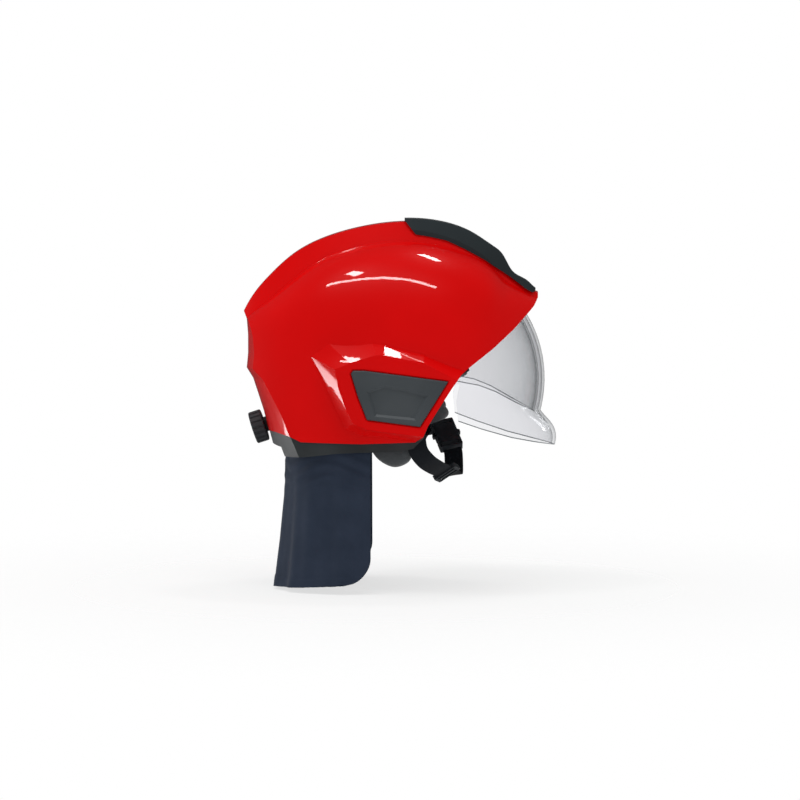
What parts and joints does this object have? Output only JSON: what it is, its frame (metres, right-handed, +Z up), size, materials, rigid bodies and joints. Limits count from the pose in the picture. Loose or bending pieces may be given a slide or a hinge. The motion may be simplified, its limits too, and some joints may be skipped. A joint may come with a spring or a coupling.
{
  "type": "fire helmet",
  "caption": "Jet style fire helmet: combed shell with brim and ear pods, two turning clear shields, liner, ratchet headband, neck curtain and buckled chin strap.",
  "frame": {"origin": "middle of the head in the plane of the shell's lower edge", "axes": "+X forward, out through the face opening; +Y to the wearer's left; +Z up through the crown"},
  "size_m": [0.3338, 0.2514, 0.3885],
  "materials": {
    "shell_red": "gloss paint",
    "crest_grey": "semi gloss",
    "plate_grey": "satin",
    "trim_black": "satin",
    "shield_clear": "clear, polished",
    "lens_clear": "clear, polished",
    "screw_steel": "plated",
    "washer_black": "matt",
    "liner_foam": "matt foam",
    "band_black": "satin",
    "pad_grey": "knitted",
    "knob_black": "matt",
    "webbing_black": "woven",
    "curtain_navy": "woven",
    "buckle_black": "satin"
  },
  "bodies": {
    "helmet": {"outer_shell": "shell_red", "crest_cover": "crest_grey", "crest_cover_screws": "screw_steel", "side_plate_right": "plate_grey", "side_plate_left": "plate_grey", "side_plate_screws": "screw_steel", "rim_trim": "trim_black", "pivot_pin_right": "screw_steel", "pivot_pin_left": "screw_steel", "friction_washer_right": "washer_black", "friction_washer_left": "washer_black", "impact_liner": "liner_foam", "headband_front": "band_black", "brow_pad": "pad_grey", "ratchet_housing": "band_black", "ratchet_cover": "band_black", "nape_pad": "pad_grey", "crown_strap_cross": "webbing_black", "crown_strap_long": "webbing_black", "crown_pad": "pad_grey", "cheek_pad_right": "pad_grey", "cheek_pad_left": "pad_grey", "neck_curtain": "curtain_navy", "curtain_strip": "curtain_navy", "chin_strap_right": "webbing_black", "chin_strap_left": "webbing_black", "chin_strap_loop": "webbing_black", "strap_anchor_right": "screw_steel", "strap_anchor_left": "screw_steel", "buckle_socket": "buckle_black", "buckle_plug": "buckle_black"},
    "face_shield": {"face_shield": "shield_clear"},
    "eye_shield": {"eye_shield": "lens_clear"},
    "size_knob": {"size_knob": "knob_black"},
    "band_right": {"headband_rear_right": "band_black"},
    "band_left": {"headband_rear_left": "band_black"},
    "prong_rear": {"buckle_prong_rear": "buckle_black"},
    "prong_front": {"buckle_prong_front": "buckle_black"},
    "strap_slider": {"strap_slider": "buckle_black"}
  },
  "joints": [
    {"name": "face_shield_hinge", "type": "hinge", "parent": "helmet", "child": "face_shield", "pos_m": [0.047, 0, 0.065], "axis": [0, -1, 0], "range_deg": [0, 46]},
    {"name": "eye_shield_hinge", "type": "hinge", "parent": "helmet", "child": "eye_shield", "pos_m": [0.047, 0, 0.065], "axis": [0, -1, 0], "range_deg": [0, 52]},
    {"name": "size_knob_turn", "type": "hinge", "parent": "helmet", "child": "size_knob", "pos_m": [-0.11793, 0, 0.01568], "axis": [0.9511, 0, 0.309], "range_deg": [0, 270]},
    {"name": "band_right_slide", "type": "slide", "parent": "helmet", "child": "band_right", "axis": [0, 1, 0], "range_m": [0, 0.0213]},
    {"name": "band_left_slide", "type": "slide", "parent": "helmet", "child": "band_left", "axis": [0, -1, 0], "range_m": [0, 0.0213]},
    {"name": "prong_rear_press", "type": "hinge", "parent": "helmet", "child": "prong_rear", "pos_m": [0.07214, 0.0405, -0.00381], "axis": [0, 0.6585, -0.7526], "range_deg": [0, 8], "stiffness_Nm_per_rad": 0.05},
    {"name": "prong_front_press", "type": "hinge", "parent": "helmet", "child": "prong_front", "pos_m": [0.086, 0.04344, -0.00123], "axis": [0, -0.6585, 0.7526], "range_deg": [0, 8], "stiffness_Nm_per_rad": 0.05},
    {"name": "strap_slider_slide", "type": "slide", "parent": "helmet", "child": "strap_slider", "axis": [-0.3332, -0.9195, 0.2086], "range_m": [0, 0.015]}
  ],
  "couplings": [
    {"joint": "band_right_slide", "follows": "size_knob_turn", "m_per_rad": 0.0045},
    {"joint": "band_left_slide", "follows": "size_knob_turn", "m_per_rad": 0.0045}
  ]
}
